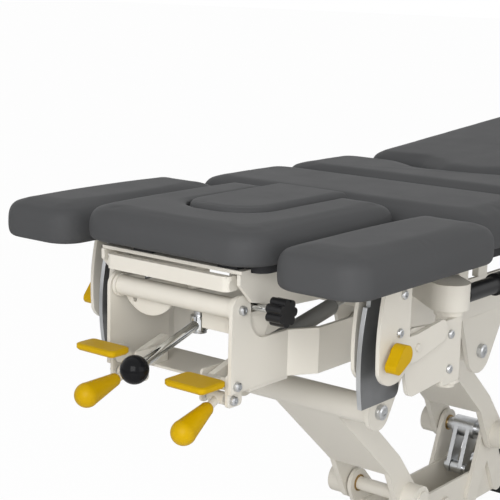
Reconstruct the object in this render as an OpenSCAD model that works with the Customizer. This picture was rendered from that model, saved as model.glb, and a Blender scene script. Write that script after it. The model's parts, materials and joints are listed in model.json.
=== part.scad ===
// Electric treatment table with a tilting head section, swinging armrests and a parallelogram lift.
// Every module is drawn with the head end of the cushions at x = 0, the far side at +y and the
// floor at z = 0, and placed() then moves it to the part's own origin.

/* [Cushions] */
// Height of the head cushion's top above the floor
head_pad_top = 900; // [880:1:930]
// Thickness of the head cushion
head_pad_t = 52; // [46:1:60]
// Length of the head cushion
head_pad_l = 362; // [345:1:368]
// Width of the head cushion
head_pad_w = 330; // [300:1:334]
// Height of the trunk cushions' top above the floor
trunk_pad_top = 891; // [885:1:910]
// Thickness of the trunk cushions
trunk_pad_t = 65; // [55:1:70]
// Width of the trunk cushions
trunk_pad_w = 554; // [500:1:580]
// Front end of the thoracic cushion
thoracic_x0 = 386; // [382:1:400]
// Length of the thoracic cushion
thoracic_l = 236; // [200:1:240]
// Front end of the lumbar cushion
lumbar_x0 = 630; // [625:1:640]
// Length of the lumbar cushion
lumbar_l = 215; // [190:1:219]
// Width of the leg cushion
leg_pad_w = 490; // [440:1:520]
// Front end of the leg cushion beside its tongue
leg_pad_x0 = 864; // [862:1:880]
// Length of the leg cushion
leg_pad_l = 1086; // [900:1:1200]
// Top of the armrest cushions above the floor
arm_pad_top = 890; // [884:1:896]
// Thickness of the armrest cushions
arm_pad_t = 60; // [50:1:60]
// Length of the armrest cushions
arm_pad_l = 376; // [330:1:378]
// Width of the armrest cushions
arm_pad_w = 149; // [130:1:160]

/* [Lift] */
// Lower pivot of the front arm along the table
front_pivot_x = 590; // [570:1:610]
// Lower pivot of the rear arm along the table
rear_pivot_x = 906; // [880:1:930]
// Height of the front arm's lower pivot
front_pivot_z = 338; // [332:1:344]
// Height of the rear arm's lower pivot
rear_pivot_z = 372; // [366:1:378]
// Reach of an arm along the table, from lower to upper pivot
arm_run = 223; // [210:1:235]
// Rise of an arm, from lower to upper pivot
arm_rise = 227; // [220:1:232]
// Width of a lift arm across the table
arm_w = 124; // [110:1:130]

/* [Base] */
// Front end of the base beam
beam_x0 = 600; // [596:1:620]
// Rear end of the base beam
beam_x1 = 1400; // [1390:1:1500]
// Width of the cross feet
foot_w = 600; // [560:1:700]
// Front cross foot along the table
foot_x0 = 480; // [470:1:490]
// Rear cross foot along the table
foot_x1 = 1510; // [1500:1:1560]
// Diameter of the castor wheels
wheel_d = 75; // [65:1:78]

/* [Upper frame] */
// Distance between the inner faces of the side plates at the head end
nose_gap = 220; // [216:1:224]
// Distance between the inner faces of the side plates along the trunk
rail_gap = 272; // [266:1:276]
// Thickness of the side plates
plate_t = 6; // [4:0.5:8]
// Lower edge of the side plates
rail_z0 = 668; // [664:1:672]
// Upper edge of the side plates
rail_z1 = 736; // [732:1:740]
// Rear end of the side plates
rail_x1 = 900; // [890:1:960]
// Front edge of the side plates
nose_x = 22; // [20:1:24]

/* [Armrests] */
// Swivel axis of an armrest along the table
swivel_x = 375; // [372:1:378]
// Swivel axis of an armrest from the middle line
swivel_y = 244; // [242:1:247]
// Diameter of the swivel pin
swivel_d = 20; // [16:1:22]

/* [Hidden] */
$fn = 64;

// Colours of the finishes.
paint = "#d8d2c8";
vinyl = "#5b5b60";
yellow = "#e0b010";
black = "#1c1c1e";
steel = "#b9bcc0";
spring_grey = "#5f605c";
brass_tone = "#a58a52";
board_tone = "#2a2a2c";

// Clearances and one overrun for all cuts.
cut = 1;
fit_gap = 0.05;
side_gap = 1;
soft_gap = 0.4;

// Pivot places of the lift, as [x, z].
front_low = [front_pivot_x, front_pivot_z];
rear_low = [rear_pivot_x, rear_pivot_z];
front_top = front_low + [-arm_run, arm_rise];
rear_top = rear_low + [-arm_run, arm_rise];

// Rounded cushion profile: inset and height of its rings.
under_r = 7;
under_h = 5;
under_inset = 1.5;
side_bulge_share = 0.3;
edge_r = 20;
crown_h = 4;
crown_in = 13;
pad_corner = 50;
arm_pad_corner = 42;
head_pad_corner = 55;
head_rear_corner = 38;
edge_steps = 4;

// Face opening in the head cushion.
slot_half_w = 72;
slot_x0 = 105;
slot_r = 60;
slot_mouth_r = 6;
plug_gap = 1.5;
plug_rise = 4;
plug_edge_share = 0.18;

// Tongue between the leg and lumbar cushions.
tongue_tip_half = 41;
tongue_root_half = 120;
tongue_l = 52;
tongue_r = 16;
notch_gap = 14;

// Hinge of the leg section, as [x, z], and its angle in the raised rest position.
leg_hinge = [838, 800];
leg_rise = 4.2;

// Knob lever at the head end, which reaches furthest forward.
ball_at = [-63, -18, 703];
ball_d = 40;

arm_pad_in = 63;
arm_pad_y0 = swivel_y - arm_pad_in;
arm_pad_z0 = arm_pad_top - arm_pad_t;
head_pad_z0 = head_pad_top - head_pad_t;
trunk_pad_z0 = trunk_pad_top - trunk_pad_t;
leg_pad_x1 = leg_pad_x0 + leg_pad_l;
head_reach = ball_at.x - ball_d / 2;
foot_reach = leg_hinge.x + (leg_pad_x1 - leg_hinge.x) * cos(leg_rise)
    - (trunk_pad_z0 + trunk_pad_t * side_bulge_share - leg_hinge.y) * sin(leg_rise);
mid_x = (head_reach + foot_reach) / 2;

module placed() {
    translate([-mid_x, 0, 0])
    children();
}

// A profile drawn as [x, z], standing between y0 and y1.
module slab_y(y0, y1) {
    translate([0, y1, 0])
    rotate([90, 0, 0])
    linear_extrude(y1 - y0)
    children();
}

// A plan drawn as [x, y], standing between z0 and z1.
module slab_z(z0, z1) {
    translate([0, 0, z0])
    linear_extrude(z1 - z0)
    children();
}

// A profile drawn as [y, z], reaching from x0 to x1.
module slab_x(x0, x1) {
    translate([x0, 0, 0])
    rotate([90, 0, 90])
    linear_extrude(x1 - x0)
    children();
}

// A round bar along y at the point p = [x, z].
module rod_y(p, y0, y1, d) {
    translate([p.x, y0, p.y])
    rotate([-90, 0, 0])
    cylinder(d = d, h = y1 - y0);
}

// A round bar along z at the point p = [x, y].
module rod_z(p, z0, z1, d) {
    translate([p.x, p.y, z0])
    cylinder(d = d, h = z1 - z0);
}

// A bar between two points in space, thick d0 at the first and d1 at the second.
module bar(a, b, d0, d1) {
    v = b - a;
    translate(a)
    rotate([0, acos(v.z / norm(v)), atan2(v.y, v.x)])
    cylinder(d1 = d0, d2 = d1, h = norm(v));
}

module both_sides() {
    children();
    mirror([0, 1, 0])
    children();
}

module box(x, y, z) {
    translate([x[0], y[0], z[0]])
    cube([x[1] - x[0], y[1] - y[0], z[1] - z[0]]);
}

// Outline of a link with a round end of its own radius at each point.
function rim(p, r, a) = p + r * [cos(a), sin(a)];

module strap(p, rp, q, rq) {
    a = atan2(q.y - p.y, q.x - p.x);
    b = acos((rp - rq) / norm(q - p));
    translate(p)
    circle(rp);
    translate(q)
    circle(rq);
    polygon([rim(p, rp, a + b), rim(p, rp, a - b), rim(q, rq, a - b), rim(q, rq, a + b)]);
}

module round_box(x0, y0, x1, y1, r) {
    translate([x0 + r, y0])
    square([x1 - x0 - 2 * r, y1 - y0]);
    translate([x0, y0 + r])
    square([x1 - x0, y1 - y0 - 2 * r]);
    for (x = [x0 + r, x1 - r], y = [y0 + r, y1 - r])
        translate([x, y])
        circle(r);
}

// Rounded outlines: each corner is [point, radius, segments, edge share] of a counter-clockwise
// polygon, and becomes arc points [corner, its mitre, side, radius, outward angle, edge share].
function outward(a, b) = [b.y - a.y, a.x - b.x] / norm(b - a);
function arc(a, c, b) =
    let (m = outward(a, c[0]), n = outward(c[0], b))
    let (side = sign(m.x * n.y - m.y * n.x))
    let (from = atan2(m.y, m.x), turn = side * acos(m * n))
    [for (i = [0 : c[2]]) [c[0], (m + n) / (1 + m * n), side, c[1], from + turn * i / c[2], c[3]]];
function rounded(corners) =
    let (n = len(corners))
    [for (i = [0 : n - 1])
        each arc(corners[(i + n - 1) % n][0], corners[i], corners[(i + 1) % n][0])];

// One ring of an outline, drawn in by d and at height z. A corner never gets tighter than least_r.
least_r = 3;
function ring(outline, d, z) =
    [for (p = outline)
        let (inset = d * p[5])
        let (r = p[2] * max(p[3] - p[2] * inset, least_r))
        let (centre = p[0] - (inset + r) * p[1])
        [centre.x + r * cos(p[4]), centre.y + r * sin(p[4]), z]];

// A stuffed cushion: drawn in below, bulged at the side, rounded over and crowned on top.
module cushion(outline, z0, t) {
    n = len(outline);
    shoulder = t - crown_h - edge_r;
    rings = concat(
        [[under_r, 0], [under_inset, under_h], [0, t * side_bulge_share], [under_inset / 2, shoulder]],
        [for (i = [1 : edge_steps])
            let (a = 90 * i / edge_steps)
            [under_inset + edge_r * (1 - cos(a)), shoulder + edge_r * sin(a)]],
        [[edge_r + crown_in, t]]);
    count = len(rings);
    points = [for (r = rings) each ring(outline, r[0], z0 + r[1])];
    faces = concat(
        [[for (i = [0 : n - 1]) i]],
        [for (k = [0 : count - 2], i = [0 : n - 1])
            let (j = (i + 1) % n)
            each [[k * n + i, (k + 1) * n + i, (k + 1) * n + j], [k * n + i, (k + 1) * n + j, k * n + j]]],
        [[for (i = [n - 1 : -1 : 0]) (count - 1) * n + i]]);
    polyhedron(points, faces);
}

corner_steps = 9;
fillet_steps = 4;

function oblong(x0, y0, x1, y1, r) =
    rounded([[[x0, y0], r, corner_steps, 1], [[x1, y0], r, corner_steps, 1],
             [[x1, y1], r, corner_steps, 1], [[x0, y1], r, corner_steps, 1]]);

// Base.
beam_w = 80;
beam_z0 = 240;
beam_z1 = 303;
beam_wall = 5;
ear_t = 8;
ear_r = 26;
ear_foot_r = 20;
ear_foot_z = beam_z0 + ear_foot_r;
ear_spread = 50;
ear_lean = 34;
shaft_d = 24;
bush_wall = 3;
bush_rim = 7;
bush_rim_t = 2;
foot_z0 = 104;
foot_z1 = 140;
foot_depth = 60;
foot_corner = 8;
leg_thick = 70;
leg_w = 60;
leg_lean = 40;

module pivot_ear(p, back, ahead) {
    difference() {
        union() {
            strap(p, ear_r, [p.x + back, ear_foot_z], ear_foot_r);
            strap(p, ear_r, [p.x + ahead, ear_foot_z], ear_foot_r);
        }
        translate(p)
        circle(d = shaft_d + 2 * fit_gap + 2 * bush_wall);
    }
}

module base_beam() {
    color(paint)
    placed() {
        difference() {
            box([beam_x0, beam_x1], [-beam_w / 2, beam_w / 2], [beam_z0, beam_z1]);
            box([beam_x0 - cut, beam_x1 + cut], [-beam_w / 2 + beam_wall, beam_w / 2 - beam_wall],
                [beam_z0 + beam_wall, beam_z1 + cut]);
        }
        both_sides() {
            slab_y(beam_w / 2, beam_w / 2 + ear_t)
            pivot_ear(front_low, ear_lean, ear_lean + ear_spread);
            slab_y(beam_w / 2, beam_w / 2 + ear_t)
            pivot_ear(rear_low, -ear_spread, ear_spread);
        }
        // Brackets and pins of the foot bar.
        both_sides() {
            slab_y(beam_w / 2, beam_w / 2 + hanger_t)
            strap(bar_pin, hanger_r, [bar_pin.x, ear_foot_z], ear_foot_r);
            rod_y(bar_pin, beam_w / 2, beam_w / 2 + 2 * hanger_t + 3 * side_gap, bar_pin_d);
        }
        // Cheeks that carry the actuator's rear pin.
        both_sides()
        slab_y(clevis_half + side_gap, beam_w / 2 - beam_wall)
        difference() {
            strap(actuator_pin, lug_r, [actuator_pin.x, beam_z0 + beam_wall + lug_r], lug_r);
            translate(actuator_pin)
            circle(d = actuator_pin_d + 2 * fit_gap);
        }
    }
}

module base_leg(foot_x, top_x) {
    color(paint)
    placed() {
        slab_y(-leg_w / 2, leg_w / 2)
        polygon([[foot_x - leg_thick / 2, foot_z1], [foot_x + leg_thick / 2, foot_z1],
                 [top_x + leg_thick / 2, beam_z0], [top_x - leg_thick / 2, beam_z0]]);
        difference() {
            slab_x(foot_x - foot_depth / 2, foot_x + foot_depth / 2)
            round_box(-foot_w / 2, foot_z0, foot_w / 2, foot_z1, foot_corner);
            for (y = [-castor_y, castor_y])
                rod_z([foot_x, y], foot_z0 - cut, foot_z0 + stem_h, stem_d + 2 * fit_gap);
        }
    }
}

module front_leg() {
    base_leg(foot_x0, beam_x0 + leg_lean);
}

module rear_leg() {
    base_leg(foot_x1, beam_x1 - leg_lean);
}

module pivot_bushes() {
    color(brass_tone)
    placed()
    both_sides()
    for (p = [front_low, rear_low])
        difference() {
            union() {
                rod_y(p, beam_w / 2 - bush_rim_t, beam_w / 2 + ear_t, shaft_d + 2 * fit_gap + 2 * bush_wall);
                rod_y(p, beam_w / 2 + ear_t, beam_w / 2 + ear_t + bush_rim_t, shaft_d + 2 * bush_rim);
            }
            rod_y(p, beam_w / 2 - bush_rim_t - cut, beam_w / 2 + ear_t + bush_rim_t + cut,
                  shaft_d + 2 * fit_gap);
        }
}

// Control box under the beam and the foot bar beside it.
box_x0 = 1080;
box_l = 200;
box_w = 130;
box_h = 60;
box_corner = 10;
gland_d = 14;
gland_l = 12;
gland_y = 40;
bar_pin = [760, 190];
bar_half = 160;
bar_d = 20;
bar_reach = 60;
bar_drop = 30;
bar_link = 10;
hanger_t = 5;
hanger_r = 14;
bar_pin_d = 10;

module control_box() {
    color(black)
    placed() {
        slab_z(beam_z0 - box_h, beam_z0)
        round_box(box_x0, -box_w / 2, box_x0 + box_l, box_w / 2, box_corner);
        for (y = [-gland_y, 0, gland_y])
            translate([box_x0 + box_l, y, beam_z0 - box_h / 2])
            rotate([0, 90, 0])
            cylinder(d = gland_d, h = gland_l);
    }
}

module foot_bar() {
    color(paint)
    placed() {
        rod_y(bar_pin + [-bar_reach, -bar_drop], -bar_half, bar_half, bar_d);
        both_sides()
        slab_y(beam_w / 2 + hanger_t + side_gap, beam_w / 2 + 2 * hanger_t + side_gap)
        difference() {
            strap(bar_pin, hanger_r, bar_pin + [-bar_reach, -bar_drop], bar_link);
            translate(bar_pin)
            circle(d = bar_pin_d + 2 * fit_gap);
        }
    }
}

// Castors.
castor_y = 270;
stem_d = 12;
stem_h = 24;
fork_top_z = foot_z0 - side_gap;
fork_plate_t = 5;
fork_w = 44;
fork_wall = 3;
wheel_w = 28;
hub_w = 34;
axle_d = 8;
trail = 24;
fork_r = 22;
fork_axle_r = 12;
wheel_bore = axle_d + 2 * fit_gap;
tyre_edge = 4;

module castor_fork(x, y) {
    axle = [x + trail, wheel_d / 2];
    color(steel)
    placed() {
        rod_z([x, y], fork_top_z, foot_z0 + stem_h - side_gap, stem_d);
        rod_z([x, y], fork_top_z - fork_plate_t, fork_top_z, 2 * fork_r);
        translate([0, y, 0])
        both_sides()
        slab_y(fork_w / 2 - fork_wall, fork_w / 2)
        polygon([[x - fork_r, fork_top_z - fork_plate_t], [x - fork_r, fork_top_z - 3 * fork_plate_t],
                 [axle.x - fork_axle_r, axle.y - fork_axle_r], [axle.x + fork_axle_r, axle.y - fork_axle_r],
                 [axle.x + fork_axle_r, axle.y + fork_axle_r], [x + fork_r, fork_top_z - fork_plate_t]]);
        translate([0, y, 0])
        slab_z(fork_top_z - 2 * fork_plate_t, fork_top_z - fork_plate_t)
        translate([x - fork_r, -fork_w / 2])
        square([2 * fork_r, fork_w]);
        rod_y(axle, y - fork_w / 2 - fork_wall, y + fork_w / 2 + fork_wall, axle_d);
    }
}

module castor_wheel(x, y) {
    color(board_tone)
    placed()
    translate([x + trail, y, wheel_d / 2])
    rotate([90, 0, 0])
    rotate_extrude($fn = 96)
    polygon([[wheel_bore / 2, -hub_w / 2], [wheel_bore, -hub_w / 2], [wheel_bore, -wheel_w / 2],
             [wheel_d / 2 - tyre_edge, -wheel_w / 2], [wheel_d / 2, -wheel_w / 2 + tyre_edge],
             [wheel_d / 2, wheel_w / 2 - tyre_edge], [wheel_d / 2 - tyre_edge, wheel_w / 2],
             [wheel_bore, wheel_w / 2], [wheel_bore, hub_w / 2], [wheel_bore / 2, hub_w / 2]]);
}

// Lift arms.
hanger_plate = 8;
arm_depth = 40;
arm_wall = 4;
arm_slope = 41.7;
arm_box_l = 235;
cheek_t = 11;
arm_low_r = 29;
cheek_front = 28;
boss_d = 52;
boss_y = 90;
collar_t = 4;
collar_d = 34;
top_tube_d = 46;
top_tube_id = 36;
top_plug_l = 27;
tube_end = rail_gap / 2 - hanger_plate - side_gap;
pin_d = 16;

// One lift arm between its upper pivot and its lower pivot.
module lift_arm(top, low) {
    knee = top + arm_box_l * [cos(arm_slope), -sin(arm_slope)];
    under = knee - arm_depth / 2 * [sin(arm_slope), cos(arm_slope)];
    over = knee + arm_depth / 2 * [sin(arm_slope), cos(arm_slope)];
    front = low.x - cheek_front;
    front_z = under.y - (front - under.x) * tan(arm_slope);
    difference() {
        union() {
            rod_y(top, -tube_end, tube_end, top_tube_d);
            translate([top.x, 0, top.y])
            rotate([0, arm_slope, 0])
            difference() {
                box([0, arm_box_l], [-arm_w / 2, arm_w / 2], [-arm_depth / 2, arm_depth / 2]);
                box([top_tube_d / 2, arm_box_l - arm_wall], [-arm_w / 2 + arm_wall, arm_w / 2 - arm_wall],
                    [-arm_depth / 2 + arm_wall, arm_depth / 2 - arm_wall]);
            }
            both_sides() {
                slab_y(arm_w / 2 - cheek_t, arm_w / 2) {
                    strap(knee, arm_depth / 2, low, arm_low_r);
                    polygon([over, under, [front, front_z], [front, low.y], low]);
                }
                rod_y(low, arm_w / 2 - cut, boss_y, boss_d);
            }
        }
        rod_y(top, -tube_end + top_plug_l, tube_end - top_plug_l, top_tube_id);
        rod_y(top, -tube_end - cut, tube_end + cut, pin_d + 2 * fit_gap);
        rod_y(low, -boss_y - cut, boss_y + cut, shaft_d + 2 * fit_gap);
    }
}

module pivot_shaft(low) {
    rod_y(low, -boss_y - collar_t, boss_y + collar_t, shaft_d);
    both_sides()
    rod_y(low, boss_y, boss_y + collar_t, collar_d);
}

module front_arm() {
    color(paint)
    placed() {
        lift_arm(front_top, front_low);
        pivot_shaft(front_low);
    }
}

module rear_arm() {
    color(paint)
    placed()
    lift_arm(rear_top, rear_low);
}

// Crank on the rear shaft, and the actuator inside the beam.
crank_r = 80;
crank_angle = -114.85;
crank_end = rear_low + crank_r * [cos(crank_angle), sin(crank_angle)];
crank_tip_r = 13;
crank_hub_d = 40;
eye_half = 8;
crank_t = 8;
crank_gap = eye_half + side_gap;
crank_bolt_d = 18;
crank_bolt_h = 6;
actuator_pin = [1325, 300];
actuator_pin_d = 14;
lug_r = 15;
clevis_half = 12;
clevis_l = 30;
motor_d = 56;
motor_l = 110;
housing_d = 38;
housing_l = 318;
rod_d = 16;
rod_l = 210;
rod_bore = rod_d + 2 * fit_gap;
rod_eye_r = 12;
eye_bore = 13;

module lift_crank() {
    color(steel)
    placed() {
        pivot_shaft(rear_low);
        both_sides() {
            rod_y(rear_low, 0, crank_gap + crank_t + crank_bolt_h, crank_hub_d);
            slab_y(crank_gap, crank_gap + crank_t)
            strap(rear_low, crank_hub_d / 2, crank_end, crank_tip_r);
            rod_y(crank_end, crank_gap + crank_t, crank_gap + crank_t + crank_bolt_h, crank_bolt_d);
        }
    }
}

// Runs the actuator's own drawing, along -x from its rear pin, up to the crank.
module actuator_line() {
    reach = crank_end - actuator_pin;
    translate([actuator_pin.x, 0, actuator_pin.y])
    rotate([0, -atan2(reach.y, reach.x), 0])
    children();
}

module along(x0, x1, d) {
    translate([x0, 0, 0])
    rotate([0, 90, 0])
    cylinder(d = d, h = x1 - x0);
}

module actuator_body() {
    color(black)
    placed() {
        actuator_line() {
            slab_y(-clevis_half, clevis_half)
            strap([0, 0], lug_r, [clevis_l, 0], lug_r);
            along(clevis_l, clevis_l + motor_l, motor_d);
            difference() {
                along(clevis_l + motor_l - cut, housing_l, housing_d);
                along(clevis_l + motor_l, housing_l + cut, rod_bore);
            }
        }
        rod_y(actuator_pin, -beam_w / 2 + beam_wall, beam_w / 2 - beam_wall, actuator_pin_d);
    }
}

module actuator_rod() {
    reach = norm(crank_end - actuator_pin);
    color(steel)
    placed()
    actuator_line() {
        slab_y(-eye_half, eye_half)
        difference() {
            translate([reach, 0])
            circle(rod_eye_r);
            translate([reach, 0])
            circle(d = eye_bore);
        }
        along(reach - rod_l, reach - rod_eye_r + cut, rod_d);
    }
}

// Upper frame. The head end's pivot tube sits in the rounded noses of the side plates.
plate_in = nose_gap / 2;
rail_in = rail_gap / 2;
nose_r = 20;
nose_pivot = [nose_x + nose_r, 783];
nose_fillet = 35;
fillet_bite = 0.3;
joggle_x0 = 150;
joggle_x1 = 190;
head_hinge = [352, 836];
hinge_ear_r = 11;
hinge_foot_r = 24;
hinge_foot_z = rail_z0 + hinge_foot_r + beam_wall;
leg_ear_r = 15;
leg_ear_foot_r = 26;
hinge_pin_d = 10;
bolt_d = 8;
bolt_head_d = 13;
bolt_head_h = 5;

// Shafts of the head end levers, as [x, z], and the plates that carry them.
paddle_shaft = [34, 678];
club_shaft = [34, 657];
lever_shaft_d = 10;
lever_plate_t = 5;
lever_plate_x0 = 23;
lever_plate_x1 = 54;
lever_plate_z0 = 647;
lever_plate_z1 = 694;
lever_plate_r = 6;
lever_inner_y = 60;
lever_foot_x = 92;
floor_x0 = 64;
floor_t = 4;

module rail_plan() {
    lean = atan2(rail_in - plate_in, joggle_x1 - joggle_x0);
    shift = plate_t * tan(lean / 2);
    polygon([[nose_x, plate_in], [joggle_x0, plate_in], [joggle_x1, rail_in], [rail_x1, rail_in],
             [rail_x1, rail_in + plate_t], [joggle_x1 - shift, rail_in + plate_t],
             [joggle_x0 - shift, plate_in + plate_t], [nose_x, plate_in + plate_t]]);
}

module nose_profile() {
    edge = nose_x + 2 * nose_r;
    translate(nose_pivot)
    circle(nose_r);
    translate([nose_x, rail_z0])
    square([2 * nose_r, nose_pivot.y - rail_z0]);
    difference() {
        translate([edge - cut, rail_z1 - cut])
        square(nose_fillet + cut);
        translate([edge + nose_fillet - fillet_bite, rail_z1 + nose_fillet - fillet_bite])
        circle(nose_fillet);
    }
}

// The far side plate, with the ears of the head and leg hinges and the plate of the lever shafts.
module side_plate() {
    color(paint)
    placed() {
        difference() {
            union() {
                slab_z(rail_z0, rail_z1)
                rail_plan();
                slab_y(plate_in, plate_in + plate_t)
                nose_profile();
                slab_y(rail_in, rail_in + plate_t) {
                    strap([head_hinge.x, hinge_foot_z], hinge_foot_r, head_hinge, hinge_ear_r);
                    strap([leg_hinge.x, rail_z0 + leg_ear_foot_r + beam_wall], leg_ear_foot_r,
                          leg_hinge, leg_ear_r);
                }
            }
            rod_y(nose_pivot, plate_in - cut, plate_in + plate_t + cut, bolt_d + 2 * fit_gap);
            rod_y(paddle_shaft, plate_in - cut, plate_in + plate_t + cut, lever_shaft_d + 2 * fit_gap);
            rod_y(head_hinge, rail_in - cut, rail_in + plate_t + cut, hinge_pin_d + 2 * fit_gap);
            rod_y(leg_hinge, rail_in - cut, rail_in + plate_t + cut, hinge_pin_d + 2 * fit_gap);
        }
        slab_y(plate_in - lever_plate_t, plate_in)
        difference() {
            round_box(lever_plate_x0, lever_plate_z0, lever_plate_x1, lever_plate_z1, lever_plate_r);
            for (p = [paddle_shaft, club_shaft])
                translate(p)
                circle(d = lever_shaft_d + 2 * fit_gap);
        }
    }
}

module side_plate_far() {
    side_plate();
}

// The near plate also carries the gusset under the knob's nut.
module side_plate_near() {
    mirror([0, 1, 0])
    side_plate();
    color(paint)
    placed()
    slab_y(-plate_in, -plate_in + plate_t)
    polygon([[tab_x0, gusset_z0], [gusset_x1, gusset_z0], [tab_x1, tab_z0], [tab_x0, tab_z0]]);
}

// Cross bars under the trunk cushions, the deep front member and the floor of the lever bay.
bar_x = [400, 585, 650, 768];
bar_reach_y = [rail_in + plate_t, 200, 200, 200];
bar_w = 30;
board_t = 12;
bar_h = 24;
riser_in = 6;
board_z0 = trunk_pad_z0 - board_t;
bar_z0 = board_z0 - bar_h;
member_x0 = 478;
member_x1 = 518;
member_z0 = 692;
front_member_x0 = 300;
front_member_x1 = 330;
front_member_h = 24;
tube_wall = 3;
spring_y = -95;
spring_low = [70, 702];
spring_lug_t = 4;
spring_lug_r = 12;
spring_eye_half = 6;
spring_pin_d = 8;
bracket_end = 6;

module tube_y(x0, x1, y0, y1, z0, z1) {
    difference() {
        box([x0, x1], [y0, y1], [z0, z1]);
        box([x0 + tube_wall, x1 - tube_wall], [y0 - cut, y1 + cut], [z0 + tube_wall, z1 - tube_wall]);
    }
}

module cross_members() {
    color(paint)
    placed() {
        for (i = [0 : len(bar_x) - 1])
            tube_y(bar_x[i], bar_x[i] + bar_w, -bar_reach_y[i], bar_reach_y[i], bar_z0, board_z0);
        tube_y(member_x0, member_x1, -rail_in, rail_in, member_z0, rail_z1);
        tube_y(front_member_x0, front_member_x1, -rail_in, rail_in, rail_z0, rail_z0 + front_member_h);
        // Floor of the lever bay, with the inner plates of the lever shafts standing on it.
        box([floor_x0, joggle_x0], [-plate_in - plate_t, plate_in + plate_t], [rail_z0 - floor_t, rail_z0]);
        both_sides()
        slab_y(lever_inner_y, lever_inner_y + floor_t)
        difference() {
            union() {
                round_box(lever_plate_x0, lever_plate_z0, lever_foot_x - floor_x0 + lever_plate_x0,
                          lever_plate_z1, lever_plate_r);
                translate([lever_plate_x1 - lever_plate_r, rail_z0])
                square([lever_foot_x - lever_plate_x1 + lever_plate_r, lever_plate_z1 - rail_z0]);
            }
            for (p = [paddle_shaft, club_shaft])
                translate(p)
                circle(d = lever_shaft_d + 2 * fit_gap);
        }
        // Lugs of the head spring.
        for (y = [spring_y - spring_eye_half - side_gap - spring_lug_t,
                  spring_y + spring_eye_half + side_gap])
            slab_y(y, y + spring_lug_t)
            difference() {
                strap(spring_low, spring_lug_r, [spring_low.x, rail_z0 + spring_lug_r], spring_lug_r);
                translate(spring_low)
                circle(d = spring_pin_d + 2 * fit_gap);
            }
    }
}

// Risers between the side plates and the cross bars.
module frame_risers() {
    color(paint)
    placed()
    both_sides()
    for (x = bar_x)
        box([x, x + bar_w], [rail_in - riser_in, rail_in + plate_t], [rail_z1, bar_z0]);
}

// Tube across the head end, with its end washers, the lug under it and the tab behind it.
head_tube_d = 29;
head_disc_d = 35;
head_disc_t = 5;
disc_y = plate_in - side_gap;
lug_y = 58;
lug_z = 800;
lug_curve_r = 55;
lug_z1 = 774;
lug_t = 5;
lug_behind = 4;
lug_x = nose_pivot.x + lug_behind;
lug_hole = [84, 764];
lug_hole_d = 8;
tab_x0 = nose_x + 2 * nose_r - side_gap;
tab_x1 = 118;
tab_z0 = 768;
tab_t = 6;
tab_y1 = 22;
gusset_x1 = 98;
gusset_lap = 8;
gusset_z0 = rail_z1 - gusset_lap;
nut_behind = 6;
nut_at = [nose_x + 2 * nose_r + nut_behind, 784];
nut_w = 20;
nut_y = -92;
nut_t = 10;
spindle_d = 10;
block_y0 = -92;
block_y1 = -30;
block_z0 = 740;
block_wall = 4;
block_depth = 36;
post_at = [85, -5];

module head_tube() {
    color(paint)
    placed() {
        difference() {
            union() {
                rod_y(nose_pivot, -disc_y, disc_y, head_tube_d);
                both_sides()
                rod_y(nose_pivot, disc_y - head_disc_t, disc_y, head_disc_d);
                slab_x(lug_x, lug_x + lug_t)
                intersection() {
                    translate([lug_y, lug_z])
                    circle(lug_curve_r);
                    translate([lug_y - lug_curve_r, lug_z - lug_curve_r - cut])
                    square([2 * lug_curve_r, lug_z1 - lug_z + lug_curve_r + cut]);
                }
            }
            rod_y(nose_pivot, -disc_y - cut, disc_y + cut, bolt_d + 2 * fit_gap);
            translate([lug_x - cut, lug_hole.x, lug_hole.y])
            rotate([0, 90, 0])
            cylinder(d = lug_hole_d, h = lug_t + 2 * cut);
        }
        // Tab behind the tube, joined to it by a web, with the knob's nut and an angle block.
        difference() {
            union() {
                box([tab_x0, tab_x1], [-plate_in, tab_y1], [tab_z0, tab_z0 + tab_t]);
                box([nose_pivot.x + head_tube_d / 4, tab_x0 + cut], [nut_y - nut_t, tab_y1],
                    [tab_z0 + cut, tab_z0 + tab_t]);
            }
            rod_z(post_at, tab_z0 - cut, tab_z0 + tab_t + cut, bolt_d);
        }
        difference() {
            box([nut_at.x - nut_w / 2, nut_at.x + nut_w / 2], [nut_y - nut_t, nut_y],
                [tab_z0 + tab_t, nut_at.y + nut_w / 2]);
            rod_y(nut_at, nut_y - nut_t - cut, nut_y + cut, spindle_d + 2 * fit_gap);
        }
        box([tab_x0, tab_x0 + block_depth], [block_y1 - block_wall, block_y1], [block_z0, tab_z0]);
        box([tab_x0, tab_x0 + block_wall], [block_y0, block_y1], [block_z0, tab_z0]);
    }
}

// Hangers from the side plates down to the lift arms.
front_hang_r = 31;
front_hang_top = [440, 690];
front_hang_top_r = 34;
rear_hang_r = 40;
rear_hang_x = [640, 752];
rear_hang_top_r = 34;
rear_hang_z = 696;

module frame_hangers() {
    color(paint)
    placed()
    both_sides()
    slab_y(rail_in - hanger_plate, rail_in)
    difference() {
        union() {
            strap(front_top, front_hang_r, front_hang_top, front_hang_top_r);
            for (x = rear_hang_x)
                strap(rear_top, rear_hang_r, [x, rear_hang_z], rear_hang_top_r);
            polygon([rear_top, [rear_hang_x[1], rear_hang_z + rear_hang_top_r],
                     [rear_hang_x[0], rear_hang_z + rear_hang_top_r]]);
        }
        for (p = [front_top, rear_top])
            translate(p)
            circle(d = pin_d + 2 * fit_gap);
    }
}

pin_head_d = 24;
pin_head_h = 8;
pin_depth = 25;
stop_y = 4;
dome_h = 3;

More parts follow.
